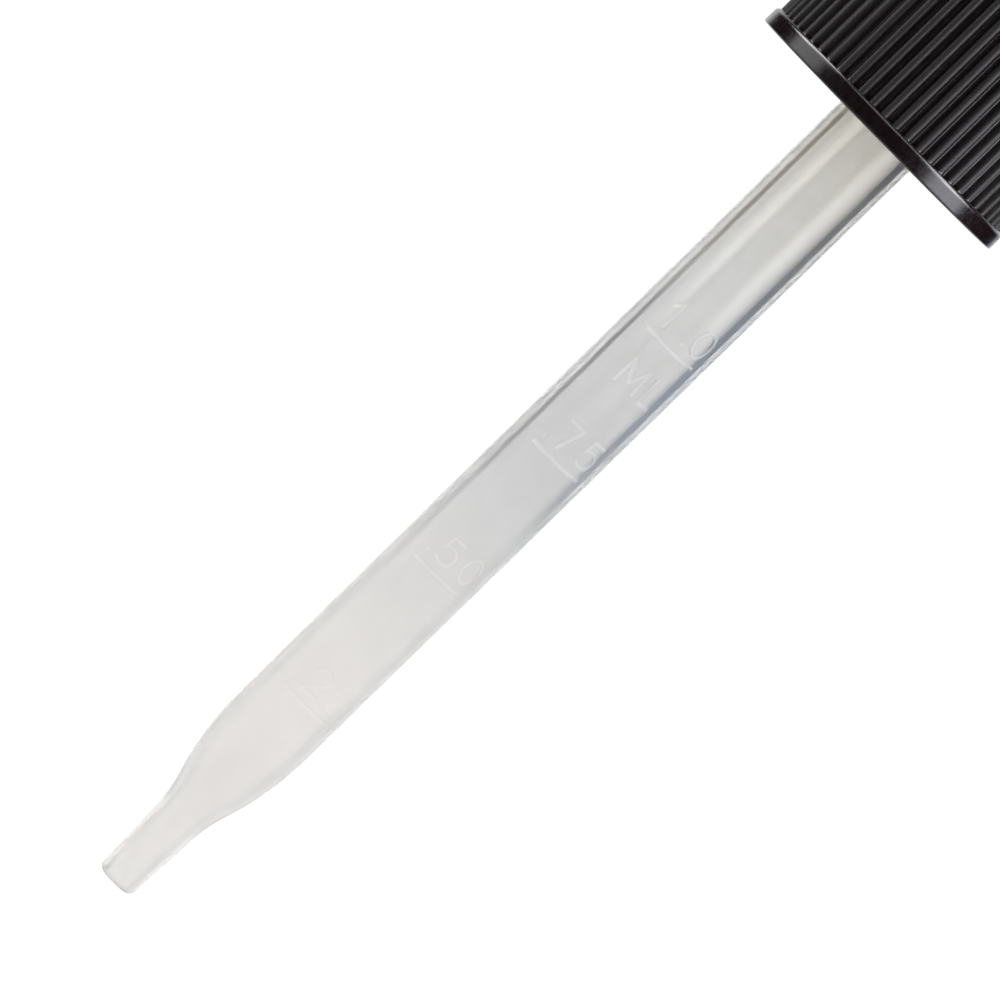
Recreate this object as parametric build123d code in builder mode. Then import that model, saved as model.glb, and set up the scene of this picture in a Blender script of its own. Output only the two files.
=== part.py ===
"""Medicine dropper: a ribbed screw cap, a graduated pipette and a squeeze bulb.

Millimetres, +Z along the dropper's axis towards the bulb. The origin is the centre of the sealing
plane, where the pipette's flange rests on the rim of the bottle. The pipette hangs below it, and
-Y is the front, where the graduation is read.
"""

import os
from math import pi

from build123d import *

# ---- screw cap, for a 20-400 bottle finish ----
SKIRT_DEPTH = 9.6  # from the sealing plane down to the cap's foot
CAP_TOP = 4.9
RIM_RADIUS = 11.43  # the smooth band round the foot of the skirt
RIM_HEIGHT = 1.45
RIM_ROUND = 0.22
RIB_COUNT = 60
RIB_CREST_RADIUS = 11.15
RIB_ROOT_RADIUS = 10.8
RIB_FOOT_WIDTH = 0.62
RIB_SIDE_ANGLE = 72.0
CAP_TOP_ROUND = 0.8
CAP_BORE_RADIUS = 10.05
MOUTH_CHAMFER = 0.45
DECK_UNDERSIDE = 3.0
DECK_HOLE_CHAMFER = 0.15
THREAD_PITCH = 3.175
THREAD_TURNS = 1.15
THREAD_START = 1.6  # height of the thread's lower end above the cap's foot
THREAD_DEPTH = 0.95
THREAD_CREST_WIDTH = 0.45
THREAD_ROOT_WIDTH = 1.35
THREAD_SINK = 0.25  # how far the thread's ridge reaches into the wall that carries it

# ---- pipette, a moulded tube 7 mm across that reaches 76.6 mm below the cap ----
BELOW_CAP = 76.6
TIP_Z = -(SKIRT_DEPTH + BELOW_CAP)
FLANGE_RADIUS = 8.9
FLANGE_THICKNESS = 1.2
FLANGE_FILLET = 0.5
BARREL_RADIUS = 3.53
BARREL_LOW_RADIUS = 3.4  # the mould's draft narrows the barrel downwards
SHOULDER_Z = TIP_Z + 15.85
SHOULDER_ARC = 22.8
WAIST_ARC = 11.7
SHOULDER_SWEEP = 17.4
WAIST_SWEEP = 14.9
TIP_RADIUS = 1.58
TIP_ROUND = 0.5
BORE_TOP_RADIUS = 2.68
BORE_LOW_RADIUS = 2.52  # the core that moulds the bore has draft too
BORE_SHOULDER_ARC = 21.5
BORE_WAIST_ARC = 10.6
TIP_BORE_RADIUS = 0.95
STUB_RADIUS = 3.4  # the part above the flange, which the bulb's throat grips
STUB_TOP = 6.6
STUB_CHAMFER = 0.3

# ---- graduation, raised on the barrel ----
# Each line stands this far above the tip. The lowest step is the longest, down where the bore is narrowest.
MARK_HEIGHTS = {".25": 19.1, ".50": 32.3, ".75": 44.1, "1.0": 55.5}
MARK_BEARING = 11.7  # the column of marks sits this many degrees round from the front
MARK_RELIEF = 0.07
MARK_SINK = 0.15
DIGIT_HEIGHT = 2.1
DIGIT_LINE = 0.22
DIGIT_ADVANCE = 1.03  # from one character to the next, in digit heights
POINT_ADVANCE = 0.45
DIGIT_RISE = 0.84  # from a line up to the foot of its number
TEXT_END = 2.85  # from the middle of a line to the end of the last character's space
TICK_LENGTH = 4.4
TICK_WIDTH = 0.24
UNIT_DROP = 4.3  # from the top line down to the foot of the unit
# Each character is one stroke, in a box one unit high.
ZERO_RIGHT = [(0.33, 1), (0.57, 0.86), (0.66, 0.5), (0.57, 0.14), (0.33, 0)]
ZERO_LEFT = [(0.09, 0.14), (0, 0.5), (0.09, 0.86), (0.33, 1)]
STROKES = {
    "0": ZERO_RIGHT + ZERO_LEFT,
    "1": [(0.1, 0.75), (0.35, 1), (0.35, 0)],
    "2": [(0, 0.75), (0.15, 0.95), (0.48, 0.97), (0.64, 0.75), (0.57, 0.5), (0, 0), (0.66, 0)],
    "5": [(0.62, 1), (0.08, 1), (0.05, 0.57), (0.42, 0.62), (0.66, 0.36), (0.56, 0.08), (0.28, 0), (0, 0.1)],
    "7": [(0.04, 1), (0.6, 1), (0.24, 0)],
    ".": [(0.15, 0), (0.15, 0.12)],
    "M": [(0, 0), (0, 1), (0.38, 0.25), (0.76, 1), (0.76, 0)],
    "L": [(0.08, 1), (0.08, 0), (0.62, 0)],
}

# ---- bulb ----
RUNNING_GAP = 0.06  # between the rubber and the cap that turns on it
NECK_RADIUS = 4.9
BULB_FLANGE_RADIUS = 9.2
BULB_FOOT_RADIUS = 5.9
BULB_FOOT_ROUND = 0.4
BULB_MID_RADIUS = 6.95
BULB_MID_Z = 13.5
BULB_RADIUS = 7.3
BULB_WALL = 1.25
BULB_WIDEST_Z = 21.0
DOME_Z = 23.1
THROAT_TOP = 7.2
CAVITY_FOOT_RADIUS = 4.6
CAVITY_FOOT_Z = 8.4
CAVITY_MID_RADIUS = 5.7

# ---- squeezing zones of the bulb's wall ----
ZONE_WIDTH = 9.0
ZONE_LOW = 12.0
ZONE_HIGH = 23.5
ZONE_CORNER = 2.5
ZONE_GAP = 0.15

CAP_FOOT = -SKIRT_DEPTH
BULB_FOOT_Z = CAP_TOP + RUNNING_GAP
BULB_FLANGE_TOP = DECK_UNDERSIDE - RUNNING_GAP
BULB_TOP = DOME_Z + BULB_RADIUS
CAVITY_RADIUS = BULB_RADIUS - BULB_WALL
CAVITY_TOP = DOME_Z + CAVITY_RADIUS


# ---- screw cap ----
with BuildPart() as cap_envelope:
    Cylinder(RIM_RADIUS, CAP_TOP - CAP_FOOT, align=(Align.CENTER, Align.CENTER, Align.MIN))
    fillet(cap_envelope.edges().group_by(Axis.Z)[-1], CAP_TOP_ROUND)
cap_envelope.part.position = (0, 0, CAP_FOOT)

with BuildPart() as thread:
    with BuildLine() as thread_path:
        Helix(
            THREAD_PITCH,
            THREAD_PITCH * THREAD_TURNS,
            CAP_BORE_RADIUS,
            center=(0, 0, CAP_FOOT + THREAD_START),
        )
    with BuildSketch(Plane(thread_path.line @ 0, x_dir=(-1, 0, 0), z_dir=thread_path.line % 0)):
        Polygon(
            (-THREAD_SINK, -THREAD_ROOT_WIDTH / 2),
            (THREAD_DEPTH, -THREAD_CREST_WIDTH / 2),
            (THREAD_DEPTH, THREAD_CREST_WIDTH / 2),
            (-THREAD_SINK, THREAD_ROOT_WIDTH / 2),
            align=None,
        )
    sweep(is_frenet=True)

with BuildPart() as screw_cap:
    with BuildSketch(Plane.XY.offset(CAP_FOOT + RIM_HEIGHT)):
        Circle(RIB_ROOT_RADIUS)
        with PolarLocations(RIB_ROOT_RADIUS, RIB_COUNT):
            Trapezoid(
                RIB_FOOT_WIDTH,
                2 * (RIB_CREST_RADIUS - RIB_ROOT_RADIUS),
                RIB_SIDE_ANGLE,
                rotation=-90,
            )
    extrude(amount=CAP_TOP - CAP_FOOT - RIM_HEIGHT)
    with BuildSketch(Plane.XY.offset(CAP_FOOT)):
        Circle(RIM_RADIUS)
    extrude(amount=RIM_HEIGHT)
    rim_edges = screw_cap.edges().filter_by(lambda edge: abs(edge.length - 2 * pi * RIM_RADIUS) < 0.01)
    fillet(rim_edges, RIM_ROUND)
    add(cap_envelope.part, mode=Mode.INTERSECT)
    with BuildSketch(Plane.XY.offset(CAP_FOOT)):
        Circle(CAP_BORE_RADIUS)
    extrude(amount=DECK_UNDERSIDE - CAP_FOOT, mode=Mode.SUBTRACT)
    with BuildSketch(Plane.XY.offset(DECK_UNDERSIDE)):
        Circle(NECK_RADIUS + RUNNING_GAP)
    extrude(amount=CAP_TOP - DECK_UNDERSIDE, mode=Mode.SUBTRACT)
    foot_circles = screw_cap.edges().filter_by(GeomType.CIRCLE).group_by(Axis.Z)[0]
    mouth = foot_circles.sort_by(SortBy.RADIUS)[0]
    chamfer(mouth, MOUTH_CHAMFER)
    add(thread.part)
screw_cap.part.label = "screw_cap"


# ---- pipette ----
with BuildPart() as pipette:
    with BuildSketch(Plane.XZ):
        with BuildLine():
            Polyline(
                (0, STUB_TOP),
                (STUB_RADIUS - STUB_CHAMFER, STUB_TOP),
                (STUB_RADIUS, STUB_TOP - STUB_CHAMFER),
                (STUB_RADIUS, FLANGE_THICKNESS),
                (FLANGE_RADIUS, FLANGE_THICKNESS),
                (FLANGE_RADIUS, 0),
                (BARREL_RADIUS + FLANGE_FILLET, 0),
            )
            RadiusArc(
                (BARREL_RADIUS + FLANGE_FILLET, 0),
                (BARREL_RADIUS, -FLANGE_FILLET),
                -FLANGE_FILLET,
            )
            barrel = Line((BARREL_RADIUS, -FLANGE_FILLET), (BARREL_LOW_RADIUS, SHOULDER_Z))
            shoulder = JernArc(barrel @ 1, barrel % 1, SHOULDER_ARC, -SHOULDER_SWEEP)
            waist = JernArc(shoulder @ 1, shoulder % 1, WAIST_ARC, WAIST_SWEEP)
            Line(waist @ 1, (TIP_RADIUS, TIP_Z))
            Polyline((TIP_RADIUS, TIP_Z), (0, TIP_Z), (0, STUB_TOP))
        make_face()
    revolve(axis=Axis.Z)
    fillet(pipette.edges().group_by(Axis.Z)[0], TIP_ROUND)
    with BuildSketch(Plane.XZ):
        with BuildLine():
            Line((0, STUB_TOP), (BORE_TOP_RADIUS, STUB_TOP))
            bore = Line((BORE_TOP_RADIUS, STUB_TOP), (BORE_LOW_RADIUS, SHOULDER_Z))
            bore_shoulder = JernArc(bore @ 1, bore % 1, BORE_SHOULDER_ARC, -SHOULDER_SWEEP)
            bore_waist = JernArc(bore_shoulder @ 1, bore_shoulder % 1, BORE_WAIST_ARC, WAIST_SWEEP)
            Line(bore_waist @ 1, (TIP_BORE_RADIUS, TIP_Z))
            Polyline((TIP_BORE_RADIUS, TIP_Z), (0, TIP_Z), (0, STUB_TOP))
        make_face()
    revolve(axis=Axis.Z, mode=Mode.SUBTRACT)

# The marks are drawn upright in front of the barrel, pushed back to it and trimmed to its curve.
mark_plane = Plane.XZ.rotated((0, 0, MARK_BEARING), ordering=Extrinsic.XYZ)
line_heights = [TIP_Z + height for height in MARK_HEIGHTS.values()]
lines_of_text = [("ML", max(line_heights) - UNIT_DROP)]
lines_of_text += [(label, z + DIGIT_RISE) for label, z in zip(MARK_HEIGHTS, line_heights)]

with BuildPart() as marks:
    with BuildSketch(mark_plane):
        with Locations([(0, z) for z in line_heights]):
            Rectangle(TICK_LENGTH, TICK_WIDTH)
        for text, foot_z in lines_of_text:
            advances = [POINT_ADVANCE if character == "." else DIGIT_ADVANCE for character in text]
            left = TEXT_END / DIGIT_HEIGHT - sum(advances)
            for character, advance in zip(text, advances):
                points = STROKES[character]
                with BuildLine():
                    Polyline([(DIGIT_HEIGHT * (left + x), foot_z + DIGIT_HEIGHT * y) for x, y in points])
                trace(line_width=DIGIT_LINE)
                left += advance
    extrude(amount=BARREL_RADIUS * 2)

with BuildPart() as mark_shell:
    with BuildSketch(Plane.XZ):
        Polygon(
            (BARREL_RADIUS - MARK_SINK, -FLANGE_FILLET),
            (BARREL_RADIUS + MARK_RELIEF, -FLANGE_FILLET),
            (BARREL_LOW_RADIUS + MARK_RELIEF, SHOULDER_Z),
            (BARREL_LOW_RADIUS - MARK_SINK, SHOULDER_Z),
            align=None,
        )
    revolve(axis=Axis.Z)
    add(marks.part, mode=Mode.INTERSECT)

with BuildPart() as graduated_pipette:
    add(pipette.part)
    add(mark_shell.part)
graduated_pipette.part.label = "pipette"


# ---- bulb ----
with BuildPart() as whole_bulb:
    with BuildSketch(Plane.XZ):
        with BuildLine():
            Polyline(
                (0, FLANGE_THICKNESS),
                (BULB_FLANGE_RADIUS, FLANGE_THICKNESS),
                (BULB_FLANGE_RADIUS, BULB_FLANGE_TOP),
                (NECK_RADIUS, BULB_FLANGE_TOP),
                (NECK_RADIUS, BULB_FOOT_Z),
                (BULB_FOOT_RADIUS - BULB_FOOT_ROUND, BULB_FOOT_Z),
            )
            foot_start = (BULB_FOOT_RADIUS - BULB_FOOT_ROUND, BULB_FOOT_Z)
            foot = JernArc(foot_start, (1, 0), BULB_FOOT_ROUND, 90)
            Spline(
                foot @ 1,
                (BULB_MID_RADIUS, BULB_MID_Z),
                (BULB_RADIUS, BULB_WIDEST_Z),
                tangents=[(0, 1), (0, 1)],
            )
            Line((BULB_RADIUS, BULB_WIDEST_Z), (BULB_RADIUS, DOME_Z))
            RadiusArc((BULB_RADIUS, DOME_Z), (0, BULB_TOP), -BULB_RADIUS)
            Line((0, BULB_TOP), (0, FLANGE_THICKNESS))
        make_face()
    revolve(axis=Axis.Z)
    with BuildSketch(Plane.XZ):
        with BuildLine():
            Polyline(
                (0, FLANGE_THICKNESS),
                (STUB_RADIUS, FLANGE_THICKNESS),
                (STUB_RADIUS, THROAT_TOP),
                (CAVITY_FOOT_RADIUS, CAVITY_FOOT_Z),
            )
            Spline(
                (CAVITY_FOOT_RADIUS, CAVITY_FOOT_Z),
                (CAVITY_MID_RADIUS, BULB_MID_Z),
                (CAVITY_RADIUS, BULB_WIDEST_Z),
                tangents=[(1, 2), (0, 1)],
            )
            Line((CAVITY_RADIUS, BULB_WIDEST_Z), (CAVITY_RADIUS, DOME_Z))
            RadiusArc((CAVITY_RADIUS, DOME_Z), (0, CAVITY_TOP), -CAVITY_RADIUS)
            Line((0, CAVITY_TOP), (0, FLANGE_THICKNESS))
        make_face()
    revolve(axis=Axis.Z, mode=Mode.SUBTRACT)

zone_middle = (ZONE_LOW + ZONE_HIGH) / 2
zone_height = ZONE_HIGH - ZONE_LOW
with BuildPart() as bulb:
    add(whole_bulb.part)
    with BuildSketch(Plane.YZ):
        with Locations((0, zone_middle)):
            RectangleRounded(ZONE_WIDTH, zone_height, ZONE_CORNER)
    extrude(amount=BULB_RADIUS * 2, both=True, mode=Mode.SUBTRACT)
bulb.part.label = "bulb"

with BuildPart() as bulb_wall_right:
    with BuildSketch(Plane.YZ):
        with Locations((0, zone_middle)):
            RectangleRounded(
                ZONE_WIDTH - 2 * ZONE_GAP,
                zone_height - 2 * ZONE_GAP,
                ZONE_CORNER - ZONE_GAP,
            )
    extrude(amount=BULB_RADIUS * 2)
    add(whole_bulb.part, mode=Mode.INTERSECT)
bulb_wall_right.part.label = "bulb_wall_right"

with BuildPart() as bulb_wall_left:
    add(bulb_wall_right.part.rotate(Axis.Z, 180))
bulb_wall_left.part.label = "bulb_wall_left"


os.makedirs("parts", exist_ok=True)
export_step(screw_cap.part, "parts/screw_cap.step")
export_step(graduated_pipette.part, "parts/pipette.step")
export_step(bulb.part, "parts/bulb.step")
export_step(bulb_wall_right.part, "parts/bulb_wall_right.step")
export_step(bulb_wall_left.part, "parts/bulb_wall_left.step")
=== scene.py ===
"""Looks for the medicine dropper: ribbed screw cap, graduated translucent pipette, rubber bulb.

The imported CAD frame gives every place. Lengths below are in millimetres until MM turns them to metres.
"""

import math

import bmesh
import bpy
import numpy as np
from mathutils import Matrix, Vector


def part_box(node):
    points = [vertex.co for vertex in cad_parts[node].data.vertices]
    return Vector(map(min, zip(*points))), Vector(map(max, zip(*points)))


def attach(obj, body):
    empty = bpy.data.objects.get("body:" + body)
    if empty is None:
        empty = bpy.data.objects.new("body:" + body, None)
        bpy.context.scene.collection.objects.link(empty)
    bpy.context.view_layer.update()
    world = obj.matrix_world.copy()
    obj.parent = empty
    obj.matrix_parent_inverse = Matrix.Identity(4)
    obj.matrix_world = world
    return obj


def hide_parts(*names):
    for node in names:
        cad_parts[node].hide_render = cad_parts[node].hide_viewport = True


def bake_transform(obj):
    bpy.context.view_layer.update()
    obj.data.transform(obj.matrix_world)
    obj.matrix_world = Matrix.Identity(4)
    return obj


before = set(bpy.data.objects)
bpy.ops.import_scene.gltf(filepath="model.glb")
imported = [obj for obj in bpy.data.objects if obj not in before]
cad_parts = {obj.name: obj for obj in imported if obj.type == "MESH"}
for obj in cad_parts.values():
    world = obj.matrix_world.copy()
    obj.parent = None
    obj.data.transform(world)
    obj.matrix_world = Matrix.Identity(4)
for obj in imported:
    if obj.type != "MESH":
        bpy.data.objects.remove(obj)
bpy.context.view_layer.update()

MM = 0.001

# ---- places read from the frame ----
cap_low, cap_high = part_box("screw_cap")
pipette_low, pipette_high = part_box("pipette")
bulb_low, bulb_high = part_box("bulb")
CAP_FOOT = cap_low.z / MM
CAP_TOP = cap_high.z / MM
RIM_RADIUS = cap_high.x / MM
TIP_Z = pipette_low.z / MM
STUB_TOP = pipette_high.z / MM
FLANGE_RADIUS = pipette_high.x / MM
FLANGE_TOP = bulb_low.z / MM
BULB_FLANGE_RADIUS = bulb_high.y / MM
BULB_TOP = bulb_high.z / MM


# ---- mesh helpers ----
def smooth(t):
    t = np.clip(t, 0.0, 1.0)
    return t * t * (3 - 2 * t)


def arc(cx, cz, radius, start, end, steps):
    """Points (r, z) on a circle round (cx, cz), angles in degrees from +r towards +z."""
    angles = np.radians(np.linspace(start, end, steps))
    return [(cx + radius * math.cos(a), cz + radius * math.sin(a)) for a in angles]


def run(a, b, steps):
    """Points from a up to but not including b."""
    return [(a[0] + (b[0] - a[0]) * i / steps, a[1] + (b[1] - a[1]) * i / steps) for i in range(steps)]


def make_object(name, vertices, faces):
    mesh = bpy.data.meshes.new(name)
    mesh.from_pydata(vertices, [], faces)
    mesh.validate()
    obj = bpy.data.objects.new(name, mesh)
    bpy.context.scene.collection.objects.link(obj)
    return obj


def finish_mesh(obj, sharp_degrees=38.0):
    """Merges doubled points, points the normals out and keeps hard edges crisp."""
    bm = bmesh.new()
    bm.from_mesh(obj.data)
    bmesh.ops.remove_doubles(bm, verts=bm.verts, dist=1e-7)
    bmesh.ops.dissolve_degenerate(bm, dist=1e-8, edges=bm.edges)
    bmesh.ops.recalc_face_normals(bm, faces=bm.faces)
    limit = math.radians(sharp_degrees)
    for edge in bm.edges:
        if len(edge.link_faces) == 2 and edge.calc_face_angle(0.0) > limit:
            edge.smooth = False
    for face in bm.faces:
        face.smooth = True
    bm.to_mesh(obj.data)
    bm.free()
    obj.data.update()
    return obj


def spun(name, radius, height, angles, sharp_degrees=38.0):
    """A closed ring from arrays of radius and height, each (profile point, angle), angles in radians."""
    rows, columns = radius.shape
    points = np.empty((rows, columns, 3))
    points[..., 0] = radius * np.cos(angles)[None, :]
    points[..., 1] = radius * np.sin(angles)[None, :]
    points[..., 2] = height
    index = np.arange(rows * columns).reshape(rows, columns)
    below = np.roll(index, -1, axis=0)
    quads = np.stack([index, np.roll(index, -1, axis=1), np.roll(below, -1, axis=1), below], axis=-1)
    obj = make_object(name, (points.reshape(-1, 3) * MM).tolist(), quads.reshape(-1, 4).tolist())
    return finish_mesh(obj, sharp_degrees)


# ---- screw cap ----
RIB_COUNT = 60
RIB_PHASE = -3.2  # how far the first rib stands round from the front, in degrees
RIB_CREST, RIB_ROOT = 11.15, 10.7
RIB_HALF_COLUMNS = (0.04, 0.12, 0.18, 0.24, 0.3, 0.36, 0.43)  # in pitches, from a crest to a groove
RIB_HALF_WIDTH, RIB_FLANK, RIB_CROWN_DROP = 0.44, 0.29, 0.2
RIM_TOP = CAP_FOOT + 1.45
RIM_ROUND, RIM_FOOT_ROUND = 0.42, 0.12
CAP_BORE = 10.05
BORE_FILLET = 0.3
MOUTH_CHAMFER = 0.45
DECK_UNDER = 3.0
DECK_HOLE = 4.96
DECK_EDGE_ROUND, DECK_UNDER_ROUND = 0.15, 0.1
DECK_DIP, DECK_DIP_INNER, DECK_DIP_OUTER = 0.12, 6.2, 9.5  # a shallow ring sunk into the deck
SHOULDER_ROUND = 0.6
THREAD_PITCH = 3.175
THREAD_TURNS = 1.15
THREAD_START = CAP_FOOT + 1.6
THREAD_DEPTH = 0.95
THREAD_HALF_WIDTH, THREAD_FLANK = 0.68, 0.45
THREAD_FADE = 0.04  # the part of a turn over which each end of the thread fades


def plain(points):
    """Rows of the cap that have the same radius in the grooves and on the crests."""
    return [(r, r, z) for r, z in points]


def rib_height(phase):
    """0 in a groove to 1 on a crest, for a phase of -0.5 to 0.5 of the rib pitch."""
    crown = 1.0 - RIB_CROWN_DROP * (phase / 0.25) ** 2
    return smooth((RIB_HALF_WIDTH - np.abs(phase)) / RIB_FLANK) * crown


def make_cap():
    """The cap as one ring: up its outside, over the deck, through the deck's hole and down its bore."""
    half_rib = np.array(RIB_HALF_COLUMNS)
    in_one_rib = np.concatenate([[-0.5], -half_rib[::-1], half_rib])
    phases = np.tile(in_one_rib, RIB_COUNT)
    ribs = np.repeat(np.arange(RIB_COUNT), len(in_one_rib))
    pitch = 2 * math.pi / RIB_COUNT
    angles = (ribs + phases) * pitch + math.radians(RIB_PHASE - 90.0)
    ridge = rib_height(phases)
    # Each row is (radius in a groove, radius on a crest, height).
    rows = plain(arc(RIM_RADIUS - RIM_FOOT_ROUND, CAP_FOOT + RIM_FOOT_ROUND, RIM_FOOT_ROUND, -90, 0, 5))
    rows += plain((RIM_RADIUS, z) for z in np.linspace(CAP_FOOT + 0.3, RIM_TOP - 0.55, 4))
    # The ribs run down into the rounded top edge of the band.
    for r, z in arc(RIM_RADIUS - RIM_ROUND, RIM_TOP - RIM_ROUND, RIM_ROUND, 0, 90, 8):
        rows.append((r, max(r, RIB_CREST), z))
    rows += [(RIB_ROOT, RIB_CREST, RIM_TOP + 0.01)]
    top_run = CAP_TOP - SHOULDER_ROUND
    rows += [(RIB_ROOT, RIB_CREST, z) for z in np.linspace(RIM_TOP + 0.15, top_run, 5)]
    for step in np.radians(np.linspace(0, 90, 9))[1:]:
        inward = SHOULDER_ROUND * (1 - math.cos(step))
        z = top_run + SHOULDER_ROUND * math.sin(step)
        crest = RIB_CREST - inward
        rows.append((min(RIB_ROOT, crest), crest, z))
    for r in (10.2, 9.6, 9.45, 7.0, 6.3, 6.15, 5.4):
        dip = DECK_DIP if DECK_DIP_INNER < r < DECK_DIP_OUTER else 0.0
        rows.append((r, r, CAP_TOP - dip))
    edge, corner = DECK_EDGE_ROUND, DECK_UNDER_ROUND
    rows += plain(arc(DECK_HOLE + edge, CAP_TOP - edge, edge, 90, 180, 4))
    rows += plain([(DECK_HOLE, 4.2), (DECK_HOLE, 3.6)])
    rows += plain(arc(DECK_HOLE + corner, DECK_UNDER + corner, corner, 180, 270, 4))
    rows += plain((r, DECK_UNDER) for r in (6.5, 8.5, CAP_BORE - BORE_FILLET))
    rows += plain(arc(CAP_BORE - BORE_FILLET, DECK_UNDER - BORE_FILLET, BORE_FILLET, 90, 0, 4)[1:])
    # The bore's rows lie closer together where the thread is.
    inner_first = len(rows)
    thread_top = THREAD_START + THREAD_PITCH * THREAD_TURNS + 1.2
    rows += plain((CAP_BORE, z) for z in np.linspace(DECK_UNDER - 0.6, thread_top, 8))
    rows += plain((CAP_BORE, z) for z in np.linspace(thread_top - 0.1, CAP_FOOT + 0.5, 38))
    inner_last = len(rows)
    rows += plain([(CAP_BORE + 0.2, CAP_FOOT + 0.15), (CAP_BORE + MOUTH_CHAMFER, CAP_FOOT)])
    rows = np.array(rows)
    groove, crest, z = rows[:, 0:1], rows[:, 1:2], rows[:, 2:3]
    radius = groove + (crest - groove) * ridge[None, :]
    height = np.repeat(z, len(angles), axis=1)
    # The thread is a ridge that climbs the inside wall and fades in and out at its ends.
    turn = np.mod(angles, 2 * math.pi)[None, :] / (2 * math.pi)
    ridge_in = np.zeros_like(height[inner_first:inner_last])
    for lap in (0, 1, 2):
        along = turn + lap
        centre = THREAD_START + THREAD_PITCH * along
        off = np.abs(height[inner_first:inner_last] - centre)
        profile = smooth((THREAD_HALF_WIDTH - off) / THREAD_FLANK)
        fade = smooth(along / THREAD_FADE) * smooth((THREAD_TURNS - along) / THREAD_FADE)
        ridge_in = np.maximum(ridge_in, profile * fade)
    radius[inner_first:inner_last] -= THREAD_DEPTH * ridge_in
    return spun("screw_cap_body", radius, height, angles, 60.0)


# ---- pipette ----
BARREL_RADIUS = 3.53
BARREL_LOW_RADIUS = 3.4
BARREL_FILLET = 0.5
SHOULDER_Z = TIP_Z + 15.85
SHOULDER_ARC, WAIST_ARC = 22.8, 11.7
BORE_SHOULDER_ARC, BORE_WAIST_ARC = 21.5, 10.6
SHOULDER_SWEEP, WAIST_SWEEP = 17.4, 14.9
TIP_RADIUS, TIP_ROUND, TIP_BORE = 1.58, 0.5, 0.95
BORE_TOP_RADIUS, BORE_LOW_RADIUS = 2.68, 2.52
BORE_RIM = 0.05  # the chamfer round the hole in the tip
STUB_RADIUS, STUB_CHAMFER = 3.4, 0.3
FLANGE_ROUND = 0.25
MARK_HEIGHTS = {".25": 19.1, ".50": 32.3, ".75": 44.1, "1.0": 55.5}  # above the tip
MARK_BEARING = 11.7  # how far the marks stand round from the front, in degrees
MARK_RELIEF = 0.045
MARK_LEAST, MARK_WORN, MARK_FULL = 0.4, 20.0, 45.0  # the least relief, and where above the tip it grows
DIGIT_HEIGHT = 2.1
DIGIT_ADVANCE, POINT_ADVANCE = 1.03, 0.45  # from one character to the next, in digit heights
DIGIT_RISE = 0.84  # from a line up to the foot of its number
TEXT_END = 3.0  # from the middle of a line to the end of its number
TICK_LENGTH = 4.7
STROKE_HALF, STROKE_SOFT, STROKE_FLANK = 0.115, 0.05, 0.09
MARK_FROST = 0.035
UNIT_DROP = 4.3  # from the top line down to the foot of the unit
MARK_ROW, PLAIN_ROW, MARK_COLUMN = 0.062, 0.7, 1.05  # mesh steps: two in millimetres, one in degrees
MARK_MARGIN = 0.3
PLAIN_COLUMNS = 96


def bend(start, heading, radius, sweep, steps):
    """Points of an arc that leaves start along heading (degrees) and turns by sweep (+ is to the left)."""
    side = 90 if sweep > 0 else -90
    centre_heading = math.radians(heading + side)
    cx = start[0] + radius * math.cos(centre_heading)
    cz = start[1] + radius * math.sin(centre_heading)
    first = heading - side
    points = []
    for i in range(1, steps + 1):
        a = math.radians(first + sweep * i / steps)
        points.append((cx + radius * math.cos(a), cz + radius * math.sin(a)))
    return points, heading + sweep


def stroke_points(character):
    """The strokes of one character in a box one unit high, as lists of points."""
    def turn(cx, cz, rx, rz, start, end, steps=14):
        angles = np.radians(np.linspace(start, end, steps))
        return [(cx + rx * math.cos(a), cz + rz * math.sin(a)) for a in angles]

    if character == "0":
        return [turn(0.33, 0.5, 0.33, 0.5, 90, 450, 32)]
    if character == "1":
        return [[(0.08, 0.78), (0.35, 1.0), (0.35, 0.0)]]
    if character == "2":
        return [turn(0.34, 0.7, 0.31, 0.3, 165, -35) + [(0.02, 0.0), (0.66, 0.0)]]
    if character == "5":
        return [[(0.6, 1.0), (0.12, 1.0), (0.07, 0.56)] + turn(0.32, 0.34, 0.34, 0.34, 130, -140)]
    if character == "7":
        return [[(0.04, 1.0), (0.6, 1.0), (0.26, 0.0)]]
    if character == "M":
        return [[(0.02, 0.0), (0.06, 1.0), (0.4, 0.25), (0.74, 1.0), (0.78, 0.0)]]
    if character == "L":
        return [[(0.08, 1.0), (0.08, 0.0), (0.62, 0.0)]]
    return [[(0.15, 0.0), (0.15, 0.04)]]


def graduation_segments():
    """Every stroke of the graduation as segments (x0, z0, x1, z1), x measured round the barrel."""
    segments = []

    def add_text(text, foot_z):
        advances = [POINT_ADVANCE if character == "." else DIGIT_ADVANCE for character in text]
        left = TEXT_END / DIGIT_HEIGHT - sum(advances)
        for character, advance in zip(text, advances):
            for stroke in stroke_points(character):
                points = [((left + x) * DIGIT_HEIGHT, foot_z + z * DIGIT_HEIGHT) for x, z in stroke]
                for a, b in zip(points, points[1:]):
                    segments.append((*a, *b))
            left += advance

    for label, height in MARK_HEIGHTS.items():
        tick = TIP_Z + height
        segments.append((-TICK_LENGTH / 2, tick, TICK_LENGTH / 2, tick))
        add_text(label, tick + DIGIT_RISE)
    add_text("ML", TIP_Z + max(MARK_HEIGHTS.values()) - UNIT_DROP)
    return np.array(segments)


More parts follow.
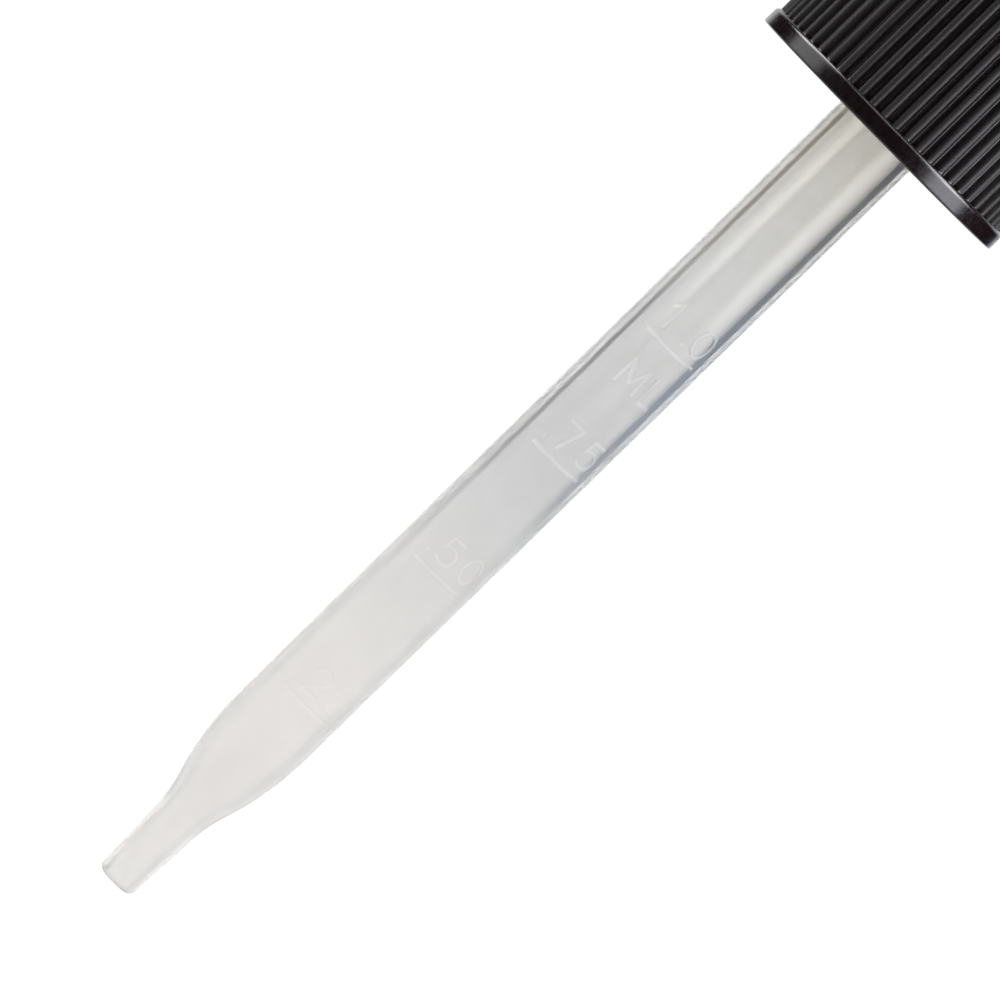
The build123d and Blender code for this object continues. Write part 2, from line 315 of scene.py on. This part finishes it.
def make_pipette():
    """The pipette as one ring: down its outside from the stub, round the tip and up its bore."""
    start = (BARREL_RADIUS, -BARREL_FILLET)
    foot = (BARREL_LOW_RADIUS, SHOULDER_Z)
    heading = math.degrees(math.atan2(foot[1] - start[1], foot[0] - start[0]))
    shoulder, heading = bend(foot, heading, SHOULDER_ARC, -SHOULDER_SWEEP, 26)
    waist, _ = bend(shoulder[-1], heading, WAIST_ARC, WAIST_SWEEP, 16)
    # The barrel's rows are close together where there are marks, and further apart elsewhere.
    ticks = [TIP_Z + height for height in MARK_HEIGHTS.values()]
    feet = ticks + [ticks[-1] - UNIT_DROP]
    heads = [tick + DIGIT_RISE + DIGIT_HEIGHT for tick in ticks] + [ticks[-1] - UNIT_DROP + DIGIT_HEIGHT]
    bands = sorted(((low - MARK_MARGIN, high + MARK_MARGIN) for low, high in zip(feet, heads)), reverse=True)
    heights = list(np.linspace(start[1], bands[0][1], 30))
    for (low, high), (_, next_high) in zip(bands, bands[1:] + [(None, foot[1])]):
        heights += list(np.linspace(high, low, round((high - low) / MARK_ROW)))[1:]
        plain_rows = max(3, round((low - next_high) / PLAIN_ROW))
        heights += list(np.linspace(low, next_high, plain_rows))[1:]
    barrel = [
        (start[0] + (foot[0] - start[0]) * (z - start[1]) / (foot[1] - start[1]), z) for z in heights
    ]
    stub_edge = (STUB_RADIUS, STUB_TOP - STUB_CHAMFER)
    profile = run((STUB_RADIUS - STUB_CHAMFER, STUB_TOP), stub_edge, 3)
    profile += run(stub_edge, (STUB_RADIUS, FLANGE_TOP + 0.1), 6)
    profile += [(r, FLANGE_TOP) for r in (STUB_RADIUS, STUB_RADIUS + 1.5, FLANGE_RADIUS - 0.9)]
    profile += arc(FLANGE_RADIUS - FLANGE_ROUND, FLANGE_TOP - FLANGE_ROUND, FLANGE_ROUND, 90, 0, 5)
    profile += arc(FLANGE_RADIUS - FLANGE_ROUND, FLANGE_ROUND, FLANGE_ROUND, 0, -90, 5)
    profile += [(7.5, 0.0), (5.5, 0.0)]
    profile += arc(BARREL_RADIUS + BARREL_FILLET, -BARREL_FILLET, BARREL_FILLET, 90, 180, 7)[:-1]
    barrel_first = len(profile)
    profile += barrel
    barrel_last = len(profile)
    profile += shoulder + waist
    profile += run(waist[-1], (TIP_RADIUS, TIP_Z + TIP_ROUND), 10)[1:]
    profile += arc(TIP_RADIUS - TIP_ROUND, TIP_Z + TIP_ROUND, TIP_ROUND, 0, -90, 8)
    bore_foot, bore_start = (TIP_BORE, TIP_Z + BORE_RIM), (BORE_LOW_RADIUS, SHOULDER_Z)
    bore_top = (BORE_TOP_RADIUS, STUB_TOP - 0.2)
    profile += [(TIP_BORE + BORE_RIM, TIP_Z), bore_foot]
    bore_shoulder, bore_heading = bend(bore_start, -90, BORE_SHOULDER_ARC, -SHOULDER_SWEEP, 22)
    bore_waist, _ = bend(bore_shoulder[-1], bore_heading, BORE_WAIST_ARC, WAIST_SWEEP, 14)
    profile += run(bore_foot, bore_waist[-1], 8)[1:]
    profile += bore_waist[::-1] + bore_shoulder[::-1]
    profile += run(bore_start, bore_top, 60)
    profile += [bore_top, (BORE_TOP_RADIUS + 0.2, STUB_TOP)]
    profile = np.array(profile)

    span = math.degrees((TICK_LENGTH / 2 + 0.35) / BARREL_LOW_RADIUS)
    fine = np.arange(-span, span, MARK_COLUMN)
    rest = np.linspace(span, 360 - span, PLAIN_COLUMNS, endpoint=False)
    degrees = np.concatenate([fine, rest]) + MARK_BEARING - 90.0
    angles = np.radians(degrees)
    radius = np.repeat(profile[:, 0:1], len(angles), axis=1)
    height = np.repeat(profile[:, 1:2], len(angles), axis=1)

    columns = len(fine)
    rows = slice(barrel_first, barrel_last)
    around = np.radians(fine)[None, :] * profile[rows, 0:1]
    z = np.repeat(profile[rows, 1:2], columns, axis=1)
    nearest = np.full(z.shape, 1e9)
    for x0, z0, x1, z1 in graduation_segments():
        dx, dz = x1 - x0, z1 - z0
        t = np.clip(((around - x0) * dx + (z - z0) * dz) / (dx * dx + dz * dz), 0, 1)
        nearest = np.minimum(nearest, np.hypot(around - x0 - t * dx, z - z0 - t * dz))
    # The mould is worn towards the tip, so the lower marks stand out less.
    clear = smooth((z - TIP_Z - MARK_WORN) / (MARK_FULL - MARK_WORN))
    depth = MARK_RELIEF * (MARK_LEAST + (1 - MARK_LEAST) * clear)
    radius[rows, :columns] += depth * smooth((STROKE_HALF + STROKE_SOFT - nearest) / STROKE_FLANK)
    return spun("pipette_tube", radius, height, angles, 50.0)


# ---- bulb ----
BULB_RADIUS = 7.3
DOME_Z = BULB_TOP - BULB_RADIUS
BULB_FOOT_Z = CAP_TOP + 0.06
BULB_FOOT_RADIUS = 5.9
BULB_FOOT_ROUND = 0.4
BULB_WIDEST_Z = 21.0
BULB_FULLNESS = 0.72  # how much of the swelling is a quarter sine; the rest is an even S
NECK_RADIUS, NECK_CHAMFER = 4.9, 0.1
BULB_FLANGE_TOP = DECK_UNDER - 0.06
BULB_FLANGE_ROUND = 0.3
THROAT_TOP = 7.2
CAVITY_RADIUS = 3.95
PARTING_LINE, PARTING_WIDTH = 0.05, 0.11  # how far the mould's line stands proud, and its width


def bulb_profile():
    """The bulb's section from the top, down the outside, round the foot and up the inside."""
    quarter = np.radians(np.linspace(0, 90, 40))
    points = [(BULB_RADIUS * math.sin(a), DOME_Z + BULB_RADIUS * math.cos(a)) for a in quarter]
    body_low = BULB_FOOT_Z + BULB_FOOT_ROUND
    for z in np.linspace(DOME_Z, body_low, 44)[1:]:
        t = np.clip((z - body_low) / (BULB_WIDEST_Z - body_low), 0, 1)
        swell = BULB_FULLNESS * math.sin(t * math.pi / 2) + (1 - BULB_FULLNESS) * smooth(t)
        points.append((BULB_FOOT_RADIUS + (BULB_RADIUS - BULB_FOOT_RADIUS) * swell, z))
    points += arc(BULB_FOOT_RADIUS - BULB_FOOT_ROUND, body_low, BULB_FOOT_ROUND, 0, -90, 7)[1:]
    points += [(NECK_RADIUS + NECK_CHAMFER, BULB_FOOT_Z), (NECK_RADIUS, BULB_FOOT_Z - NECK_CHAMFER)]
    points += [(NECK_RADIUS, 4.0), (NECK_RADIUS, BULB_FLANGE_TOP + NECK_CHAMFER)]
    points += [(r, BULB_FLANGE_TOP) for r in (NECK_RADIUS + NECK_CHAMFER, BULB_FLANGE_RADIUS - 1.5)]
    edge = BULB_FLANGE_ROUND
    points += arc(BULB_FLANGE_RADIUS - edge, BULB_FLANGE_TOP - edge, edge, 90, 0, 5)
    points += arc(BULB_FLANGE_RADIUS - edge, FLANGE_TOP + edge, edge, 0, -90, 5)
    points += [(6.0, FLANGE_TOP)] + [(STUB_RADIUS, z) for z in (FLANGE_TOP, 4.0, THROAT_TOP)]
    points += [(CAVITY_RADIUS, z) for z in (THROAT_TOP + 0.6, 12.0, 18.0)]
    return np.array(points + arc(0.0, DOME_Z, CAVITY_RADIUS, 0, 90, 16))


def make_bulb_half(name, side):
    """A closed shell with a flat cut at x = 0. The side is +1 for the half at +X and -1 for the other."""
    profile = bulb_profile()
    near_cut = np.array([0.0, 0.5, 1.0, 1.5, 2.0, 2.6, 3.4])
    sweep = np.concatenate([near_cut, np.linspace(5.0, 175.0, 86), 180 - near_cut[::-1]])
    angles = np.radians(sweep - 90.0)
    if side < 0:
        angles = angles + math.pi
    radius = np.repeat(profile[:, 0:1], len(angles), axis=1)
    height = np.repeat(profile[:, 1:2], len(angles), axis=1)
    skin = (height > BULB_FOOT_Z + 0.2) & (radius > CAVITY_RADIUS + 0.1)
    across = radius * np.cos(angles)[None, :]
    radius = radius + np.where(skin, PARTING_LINE * np.exp(-((across / PARTING_WIDTH) ** 2)), 0.0)
    rows, columns = radius.shape
    points = np.empty((rows, columns, 3))
    points[..., 0] = radius * np.cos(angles)[None, :]
    points[..., 1] = radius * np.sin(angles)[None, :]
    points[..., 2] = height
    points[:, 0, 0] = 0.0
    points[:, -1, 0] = 0.0
    index = np.arange(rows * columns).reshape(rows, columns)
    quads = np.stack([index[:-1, :-1], index[:-1, 1:], index[1:, 1:], index[1:, :-1]], axis=-1)
    quads = quads.reshape(-1, 4).tolist()
    quads.append(index[:, 0].tolist())
    quads.append(index[::-1, -1].tolist())
    obj = make_object(name, (points.reshape(-1, 3) * MM).tolist(), quads)
    return finish_mesh(obj, 42.0)


# ---- materials ----
# The darker black in the grooves (and in the bore) is painted shade; the lighter one is the cap's own black
# on the crests and the band.
CAP_BLACK_AND_GROOVE_SHADE = (0.0028, 0.001, 0.0015), (0.0036, 0.0014, 0.002)  # in the grooves and on the crests
RUBBER_BLACKS = (0.007, 0.0066, 0.0066), (0.013, 0.0125, 0.0125)
MILKY_TO_CLEAR, CLEARNESS = (-0.068, -0.024), (0.62, 0.865)  # heights in metres, and the transmission there
HAZY_TO_SMOOTH, TUBE_ROUGHNESS = (-0.07, -0.042), (0.13, 0.05)
# The plastic's colour, by how far it lies from the tip (0) towards the cap's foot (1), with painted light in
# it: lighter towards the tip, and painted shade, darker and warmer, just under the cap.
TUBE_COLOUR_AND_PAINTED_LIGHT = (
    (0.0, (0.87, 0.85, 0.83)),
    (0.3, (0.868, 0.848, 0.828)),
    (0.5, (0.786, 0.786, 0.786)),
    (0.65, (0.811, 0.811, 0.81)),
    (0.8, (0.811, 0.811, 0.807)),
    (1.0, (0.79, 0.772, 0.732)),
)


def new_material(name):
    """A material with a bare Principled shader: itself, its nodes, its links and the shader."""
    material = bpy.data.materials.new(name)
    material.use_nodes = True
    nodes = material.node_tree.nodes
    nodes.clear()
    output = nodes.new("ShaderNodeOutputMaterial")
    shader = nodes.new("ShaderNodeBsdfPrincipled")
    material.node_tree.links.new(shader.outputs["BSDF"], output.inputs["Surface"])
    return material, nodes, material.node_tree.links, shader


def noise(nodes, links, vector, scale, detail=3.0, roughness=0.5):
    node = nodes.new("ShaderNodeTexNoise")
    node.inputs["Scale"].default_value = scale
    node.inputs["Detail"].default_value = detail
    node.inputs["Roughness"].default_value = roughness
    links.new(vector, node.inputs["Vector"])
    return node.outputs["Fac"]


def remap(nodes, links, value, low, high, to_low, to_high):
    """From to_low to to_high in a smooth step while the value goes from low to high."""
    node = nodes.new("ShaderNodeMapRange")
    node.interpolation_type = "SMOOTHSTEP"
    for key, number in zip(("From Min", "From Max", "To Min", "To Max"), (low, high, to_low, to_high)):
        node.inputs[key].default_value = number
    links.new(value, node.inputs["Value"])
    return node.outputs["Result"]


def fraction(nodes, links, value, low, high):
    """0 at low to 1 at high, in a straight line."""
    node = nodes.new("ShaderNodeMapRange")
    node.inputs["From Min"].default_value = low
    node.inputs["From Max"].default_value = high
    links.new(value, node.inputs["Value"])
    return node.outputs["Result"]


def math_node(nodes, links, operation, a, b):
    node = nodes.new("ShaderNodeMath")
    node.operation = operation
    for socket, value in zip(node.inputs, (a, b)):
        if isinstance(value, (int, float)):
            socket.default_value = value
        else:
            links.new(value, socket)
    return node.outputs[0]


def colour_mix(nodes, links, factor, a, b):
    node = nodes.new("ShaderNodeMix")
    node.data_type = "RGBA"
    links.new(factor, node.inputs[0])
    node.inputs[6].default_value = (*a, 1.0)
    node.inputs[7].default_value = (*b, 1.0)
    return node.outputs[2]


def bump(nodes, links, height, strength, distance, shader):
    node = nodes.new("ShaderNodeBump")
    node.inputs["Strength"].default_value = strength
    node.inputs["Distance"].default_value = distance
    links.new(height, node.inputs["Height"])
    links.new(node.outputs["Normal"], shader.inputs["Normal"])


def colour_ramp(nodes, links, factor, shades):
    """A colour that follows a factor of 0 to 1. The shades are (factor, colour) in rising order."""
    node = nodes.new("ShaderNodeValToRGB")
    links.new(factor, node.inputs["Fac"])
    stops = node.color_ramp.elements
    for index, (position, colour) in enumerate(shades):
        if index in (0, len(shades) - 1):
            stop = stops[0 if index == 0 else -1]
            stop.position = position
        else:
            stop = stops.new(position)
        stop.color = (*colour, 1.0)
    return node.outputs["Color"]


def object_place(nodes):
    """Object coordinates, which are the row frame in metres."""
    return nodes.new("ShaderNodeTexCoord").outputs["Object"]


def split_axes(nodes, links, vector):
    """The outputs X, Y and Z of a vector."""
    node = nodes.new("ShaderNodeSeparateXYZ")
    links.new(vector, node.inputs[0])
    return node.outputs


def off_axis(nodes, links, axes):
    """The distance from the dropper's axis."""
    squares = [math_node(nodes, links, "POWER", axes[axis], 2.0) for axis in ("X", "Y")]
    return math_node(nodes, links, "SQRT", math_node(nodes, links, "ADD", *squares), 0.0)


def cap_material():
    material, nodes, links, shader = new_material("cap_plastic")
    where = object_place(nodes)
    axes = split_axes(nodes, links, where)
    grain = noise(nodes, links, where, 2600.0, 2.0)
    cloud = noise(nodes, links, where, 190.0, 3.0)
    # The band round the foot is polished steel in the mould; the ribs above it are textured on their crests.
    ribs = remap(nodes, links, axes["Z"], (RIM_TOP - 0.05) * MM, (RIM_TOP + 0.1) * MM, 0.0, 1.0)
    groove, crest = (RIB_ROOT - 0.02) * MM, (RIB_CREST - 0.05) * MM
    crests = remap(nodes, links, off_axis(nodes, links, axes), groove, crest, 0.0, 1.0)
    # Darker in the grooves as painted shade, with random mottle from the cloud.
    groove_shade_and_mottle = math_node(nodes, links, "ADD", crests, remap(nodes, links, cloud, 0.3, 0.7, -0.15, 0.15))
    links.new(colour_mix(nodes, links, groove_shade_and_mottle, *CAP_BLACK_AND_GROOVE_SHADE), shader.inputs["Base Color"])
    texture = math_node(nodes, links, "MULTIPLY", ribs, remap(nodes, links, crests, 0.0, 1.0, 0.11, 0.33))
    patchy = remap(nodes, links, grain, 0.3, 0.7, 0.18, 0.26)
    rough = math_node(nodes, links, "ADD", texture, patchy)
    links.new(rough, shader.inputs["Roughness"])
    shader.inputs["IOR"].default_value = 1.5
    bump(nodes, links, math_node(nodes, links, "MULTIPLY", grain, ribs), 0.35, 0.00003, shader)
    return material


def rubber_material():
    material, nodes, links, shader = new_material("bulb_rubber")
    where = object_place(nodes)
    grain = noise(nodes, links, where, 1500.0, 4.0, 0.6)
    cloud = noise(nodes, links, where, 120.0, 4.0, 0.55)
    bloom = remap(nodes, links, cloud, 0.35, 0.7, 0.0, 1.0)
    links.new(colour_mix(nodes, links, bloom, *RUBBER_BLACKS), shader.inputs["Base Color"])
    patches = remap(nodes, links, cloud, 0.3, 0.7, 0.5, 0.62)
    speckle = remap(nodes, links, grain, 0.3, 0.7, -0.05, 0.05)
    links.new(math_node(nodes, links, "ADD", patches, speckle), shader.inputs["Roughness"])
    shader.inputs["Specular IOR Level"].default_value = 0.35
    shader.inputs["Sheen Weight"].default_value = 0.05
    shader.inputs["Sheen Roughness"].default_value = 0.5
    bump(nodes, links, grain, 0.3, 0.00004, shader)
    return material


def tube_material():
    material, nodes, links, shader = new_material("pipette_plastic")
    where = object_place(nodes)
    axes = split_axes(nodes, links, where)
    cloud = noise(nodes, links, where, 260.0, 3.0, 0.55)
    z = axes["Z"]
    # The wall is clearest near the cap and milkiest in the thick-walled nozzle.
    even = remap(nodes, links, z, *MILKY_TO_CLEAR, *CLEARNESS)
    swirl = remap(nodes, links, cloud, 0.3, 0.7, -0.006, 0.006)
    clear = math_node(nodes, links, "ADD", even, swirl)
    # The raised marks are a little frosted. The barrel narrows evenly, so its own radius is a straight line.
    slope = (BARREL_RADIUS - BARREL_LOW_RADIUS) / (-BARREL_FILLET - SHOULDER_Z)
    barrel = math_node(nodes, links, "MULTIPLY", z, slope)
    raised = math_node(nodes, links, "SUBTRACT", off_axis(nodes, links, axes), barrel)
    level = BARREL_RADIUS + slope * BARREL_FILLET
    marks = remap(nodes, links, raised, (level + 0.012) * MM, (level + 0.04) * MM, 0.0, MARK_FROST)
    on_barrel = remap(nodes, links, z, -0.004, -0.0035, 1.0, 0.0)
    frost = math_node(nodes, links, "MULTIPLY", marks, on_barrel)
    links.new(math_node(nodes, links, "SUBTRACT", clear, frost), shader.inputs["Transmission Weight"])
    along = fraction(nodes, links, z, TIP_Z * MM, CAP_FOOT * MM)
    # The base colour carries painted light: lighter towards the tip, and painted shade just under the cap.
    links.new(colour_ramp(nodes, links, along, TUBE_COLOUR_AND_PAINTED_LIGHT), shader.inputs["Base Color"])
    links.new(remap(nodes, links, z, *HAZY_TO_SMOOTH, *TUBE_ROUGHNESS), shader.inputs["Roughness"])
    shader.inputs["IOR"].default_value = 1.49
    shader.inputs["Specular IOR Level"].default_value = 0.3
    shader.inputs["Subsurface Weight"].default_value = 1.0
    shader.inputs["Subsurface Radius"].default_value = (1.0, 1.0, 1.0)
    shader.inputs["Subsurface Scale"].default_value = 0.002
    return material


def floor_material():
    material, nodes, links, shader = new_material("studio_floor")
    mottle = noise(nodes, links, object_place(nodes), 3.0)
    links.new(colour_mix(nodes, links, mottle, *FLOOR_GREYS), shader.inputs["Base Color"])
    shader.inputs["Roughness"].default_value = 0.9
    shader.inputs["Emission Color"].default_value = (1.0, 1.0, 1.0, 1.0)
    shader.inputs["Emission Strength"].default_value = FLOOR_GLOW
    return material


def shaded_card_material(name, shades):
    """A card whose colour changes with height. The shades are (z, colour) from its foot up."""
    material, nodes, links, shader = new_material(name)
    foot, top = shades[0][0], shades[-1][0]
    up = fraction(nodes, links, split_axes(nodes, links, object_place(nodes))["Z"], foot, top)
    ramp = colour_ramp(nodes, links, up, [((z - foot) / (top - foot), colour) for z, colour in shades])
    links.new(ramp, shader.inputs["Emission Color"])
    shader.inputs["Emission Strength"].default_value = 1.0
    shader.inputs["Base Color"].default_value = (0.0, 0.0, 0.0, 1.0)
    shader.inputs["Specular IOR Level"].default_value = 0.0
    return material


def glow_material(name, middle, half_width, low, high, radiance, tint):
    """A black card with a glow that fades to both sides of its middle bearing and towards its foot."""
    material, nodes, links, shader = new_material(name)
    axes = split_axes(nodes, links, object_place(nodes))
    bearing = math_node(nodes, links, "ARCTAN2", axes["X"], axes["Y"])
    turned = math_node(nodes, links, "SUBTRACT", bearing, math.radians(middle))
    aside = math_node(nodes, links, "ABSOLUTE", turned, 0)
    across = remap(nodes, links, aside, 0.0, math.radians(half_width), radiance, 0.0)
    upright = remap(nodes, links, axes["Z"], low, high, 0.0, 1.0)
    links.new(math_node(nodes, links, "MULTIPLY", across, upright), shader.inputs["Emission Strength"])
    shader.inputs["Emission Color"].default_value = (*tint, 1.0)
    shader.inputs["Base Color"].default_value = (0.01, 0.01, 0.01, 1.0)
    shader.inputs["Roughness"].default_value = 0.9
    return material


# ---- pieces ----
cap = make_cap()
cap.data.materials.append(cap_material())
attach(cap, "cap")
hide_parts("screw_cap")

tube = make_pipette()
tube.data.materials.append(tube_material())
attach(tube, "dropper")
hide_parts("pipette")

# The bulb's skin is made in two halves, one each side of x = 0, in place of the CAD bulb and its two walls.
rubber = rubber_material()
bulb_halves = []
for half_name, side, body, wall in (
    ("bulb_skin_right", 1, "squeeze_right", "bulb_wall_right"),
    ("bulb_skin_left", -1, "squeeze_left", "bulb_wall_left"),
):
    half = make_bulb_half(half_name, side)
    half.data.materials.append(rubber)
    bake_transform(half)
    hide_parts("bulb", wall)
    bulb_halves.append(half)

# ---- studio ----
FLOOR_GREYS = (0.29, 0.29, 0.29), (0.31, 0.31, 0.31)
FLOOR_GLOW = 0.78
FLOOR_DROP = 1.5
FLOOR_REACH = 4.0  # in metres
SKY_LOW, SKY_HIGH = (0.05, 1.02), (0.5, 0.7)  # each a height of the direction and the sky's strength there
WHITE, NEARLY_BLACK = (1.0, 1.0, 1.0), (0.004, 0.004, 0.004)
# The cards' distances and heights are in metres.
RING_DISTANCE, FLAG_DISTANCE, GLOW_DISTANCE = 0.26, 0.262, 0.25
RING_FOOT, RING_TOP = -0.066, 0.4
FLAG_TOP = 0.05
GLOW_FOOT, GLOW_TOP = -0.06, 0.01
GLOW_FADE_LOW, GLOW_FADE_HIGH = -0.051, -0.029


def panel(name, corners):
    return make_object(name, [tuple(c) for c in corners], [list(range(len(corners)))])


def disc_points(radius, z, steps):
    angles = np.linspace(0, 2 * math.pi, steps, endpoint=False)
    return [(radius * math.cos(a), radius * math.sin(a), z) for a in angles]


floor = panel("floor", disc_points(FLOOR_REACH, (TIP_Z - FLOOR_DROP) * MM, 96))
floor.data.materials.append(floor_material())


def make_card(name, first, last, distance, low, high, material):
    """A curved card that the camera doesn't see, between two bearings in degrees from +Y towards +X."""
    bearings = np.radians(np.linspace(first, last, 60))
    points = [(distance * math.sin(b), distance * math.cos(b), z) for z in (low, high) for b in bearings]
    count = len(bearings)
    faces = [(i, i + 1, count + i + 1, count + i) for i in range(count - 1)]
    card = make_object(name, points, faces)
    card.data.materials.append(material)
    card.visible_camera = False
    card.visible_diffuse = False
    card.visible_shadow = False
    card.visible_volume_scatter = False
    return card


def light_only(lamp, name, objects):
    """Keeps a lamp's light for the given objects."""
    receivers = bpy.data.collections.new(name)
    for obj in objects:
        receivers.objects.link(obj)
    lamp.light_linking.receiver_collection = receivers


# The black ring keeps the cap's reflections dark, and is not seen through the tube.
black_card = shaded_card_material("black_card", ((RING_FOOT, NEARLY_BLACK), (RING_TOP, NEARLY_BLACK)))
ring = make_card("flag_ring", 37.0, 326.0, RING_DISTANCE, RING_FOOT, RING_TOP, black_card)
ring.visible_transmission = False
# The flags stand beside the pale background and are what the tube's two dark lines refract.
# Each has its two bearings and its shades: heights in metres and colours.
FLAGS = {
    "flag_right": (
        (27.0, 62.0),
        (
            (-0.078, WHITE),
            (-0.067, (0.52, 0.53, 0.54)),
            (-0.0605, (0.14, 0.2, 0.3)),
            (-0.05, (0.06, 0.13, 0.25)),
            (-0.042, (0.05, 0.12, 0.24)),
            (-0.03, (0.006, 0.02, 0.06)),
        ),
    ),
    "flag_right_edge": (
        (21.0, 27.0),
        (
            (-0.078, WHITE),
            (-0.06, (0.85, 0.92, 1.0)),
            (-0.045, (0.8, 0.88, 1.0)),
            (-0.03, (0.6, 0.65, 0.7)),
        ),
    ),
    "flag_left": (
        (298.0, 319.0),
        (
            (-0.078, (0.75, 0.75, 0.75)),
            (-0.068, (0.16, 0.16, 0.16)),
            (-0.0625, (0.2, 0.2, 0.2)),
            (-0.057, (0.13, 0.13, 0.15)),
            (-0.046, (0.13, 0.13, 0.14)),
            (-0.036, (0.38, 0.38, 0.37)),
            (-0.03, (0.22, 0.2, 0.14)),
        ),
    ),
    "flag_left_edge": (
        (319.0, 326.0),
        (
            (-0.078, WHITE),
            (-0.067, (0.9, 0.9, 0.9)),
            (-0.04, (0.72, 0.72, 0.72)),
            (-0.03, (0.7, 0.67, 0.55)),
        ),
    ),
}
for flag, (bearings, shades) in FLAGS.items():
    make_card(flag, *bearings, FLAG_DISTANCE, shades[0][0], FLAG_TOP, shaded_card_material(flag, shades))
# Two glows in front of the dropper draw the soft bright bands along the tube.
for glow, middle, half_width, radiance, tint in (
    ("glow_left", -127.0, 24.0, 3.2, (1.0, 0.97, 0.88)),
    ("glow_right", 122.0, 24.0, 3.5, WHITE),
):
    material = glow_material(glow, middle, half_width, GLOW_FADE_LOW, GLOW_FADE_HIGH, radiance, tint)
    first, last = middle - half_width, middle + half_width
    card = make_card(glow, first, last, GLOW_DISTANCE, GLOW_FOOT, GLOW_TOP, material)
    light_only(card, glow, [tube])


def softbox(name, bearing, elevation, distance, width, height, radiance, aim):
    """An area light, in metres. Its bearing is in degrees from the camera's side (-Y) towards +X."""
    light = bpy.data.lights.new(name, "AREA")
    light.shape = "RECTANGLE"
    light.size = width
    light.size_y = height
    light.energy = radiance * math.pi * width * height
    holder = bpy.data.objects.new(name, light)
    bpy.context.scene.collection.objects.link(holder)
    b, e = math.radians(bearing), math.radians(elevation)
    offset = Vector((math.sin(b) * math.cos(e), -math.cos(b) * math.cos(e), math.sin(e))) * distance
    holder.location = Vector(aim) + offset
    holder.rotation_euler = (-offset).to_track_quat("-Z", "Y").to_euler()
    holder.visible_camera = False
    return holder


HIGH_AIM, BAND_AIM = (0.0, 0.0, 0.08), (0.0, 0.0, -0.008)
MIDDLE_AIM, TIP_AIM = (0.0, 0.0, -0.03), (0.0, 0.0, -0.088)
COOL_WHITE = (0.95, 0.97, 1.04)
dark_pieces = [cap] + bulb_halves
# The two side lights draw the ribs' bright lines. The two higher ones light the top edge of the cap's band.
for name, bearing, elevation, distance, width, height, radiance, colour, aim_point, receivers in (
    ("softbox_left", -82.0, 0.0, 0.22, 0.145, 0.24, 2.5, WHITE, HIGH_AIM, dark_pieces),
    ("softbox_right", 66.0, 0.0, 0.22, 0.15, 0.24, 5.6, COOL_WHITE, HIGH_AIM, dark_pieces),
    ("edge_light_left", -104.0, 42.0, 0.24, 0.1, 0.19, 10.0, WHITE, BAND_AIM, [cap]),
    ("edge_light_right", 78.0, 42.0, 0.24, 0.14, 0.19, 10.0, WHITE, BAND_AIM, [cap]),
):
    lamp = softbox(name, bearing, elevation, distance, width, height, radiance, aim_point)
    lamp.data.color = colour
    light_only(lamp, name, receivers)
softbox("softbox_top", 0.0, 62.0, 0.60, 0.5, 0.3, 3.0, MIDDLE_AIM)
# The fills light the milky plastic itself. The two small ones stand close beside the nozzle.
for name, bearing, elevation, distance, size, radiance, aim_point in (
    ("fill_front", 0.0, 15.0, 0.5, 0.4, 2.7, MIDDLE_AIM),
    ("fill_left", -100.0, 15.0, 0.5, 0.4, 1.3, MIDDLE_AIM),
    ("fill_right", 100.0, 15.0, 0.5, 0.4, 1.3, MIDDLE_AIM),
    ("tip_fill_left", -100.0, 0.0, 0.035, 0.03, 1.2, TIP_AIM),
    ("tip_fill_right", 100.0, 0.0, 0.035, 0.03, 1.2, TIP_AIM),
):
    fill = softbox(name, bearing, elevation, distance, size, size, radiance, aim_point)
    fill.visible_glossy = False
    fill.visible_transmission = False
    light_only(fill, name, [tube])

world = bpy.data.worlds.new("studio")
world.use_nodes = True
sky, sky_links = world.node_tree.nodes, world.node_tree.links
direction = sky.new("ShaderNodeSeparateXYZ")
sky_links.new(sky.new("ShaderNodeTexCoord").outputs["Generated"], direction.inputs[0])
sky_links.new(
    remap(sky, sky_links, direction.outputs["Z"], SKY_LOW[0], SKY_HIGH[0], SKY_LOW[1], SKY_HIGH[1]),
    sky["Background"].inputs["Strength"],
)
sky["Background"].inputs["Color"].default_value = (*WHITE, 1.0)
bpy.context.scene.world = world
bpy.context.scene.view_settings.view_transform = "Standard"

# ---- camera ----
DISTANCE = 0.6  # in metres
ELEVATION, ROLL = 4.36, 45.61  # in degrees
VIEW_WIDTH = 0.0716  # in metres, at the dropper
SENSOR = 36.0
visible_middle = Vector((0.0, 0.0, (CAP_FOOT + TIP_Z) / 2 * MM))
pitch, roll = math.radians(ELEVATION), math.radians(ROLL)
forward = Vector((0.0, math.cos(pitch), -math.sin(pitch)))
level_right = Vector((1.0, 0.0, 0.0))
level_up = level_right.cross(forward)
right = level_right * math.cos(roll) + level_up * math.sin(roll)
up = level_up * math.cos(roll) - level_right * math.sin(roll)
# The middle of the part that shows sits a little left of and below the picture's centre, in picture widths.
MIDDLE_LEFT, MIDDLE_DOWN = 0.0064, 0.0096
aim = visible_middle + (right * MIDDLE_LEFT + up * MIDDLE_DOWN) * VIEW_WIDTH
camera_data = bpy.data.cameras.new("camera")
camera_data.sensor_width = SENSOR
camera_data.lens = SENSOR * DISTANCE / VIEW_WIDTH
camera_data.clip_start = 0.01
camera_data.clip_end = 50.0
camera = bpy.data.objects.new("camera", camera_data)
bpy.context.scene.collection.objects.link(camera)
place_camera = Matrix((right, up, -forward)).transposed().to_4x4()
place_camera.translation = aim - forward * DISTANCE
camera.matrix_world = place_camera
bpy.context.scene.camera = camera
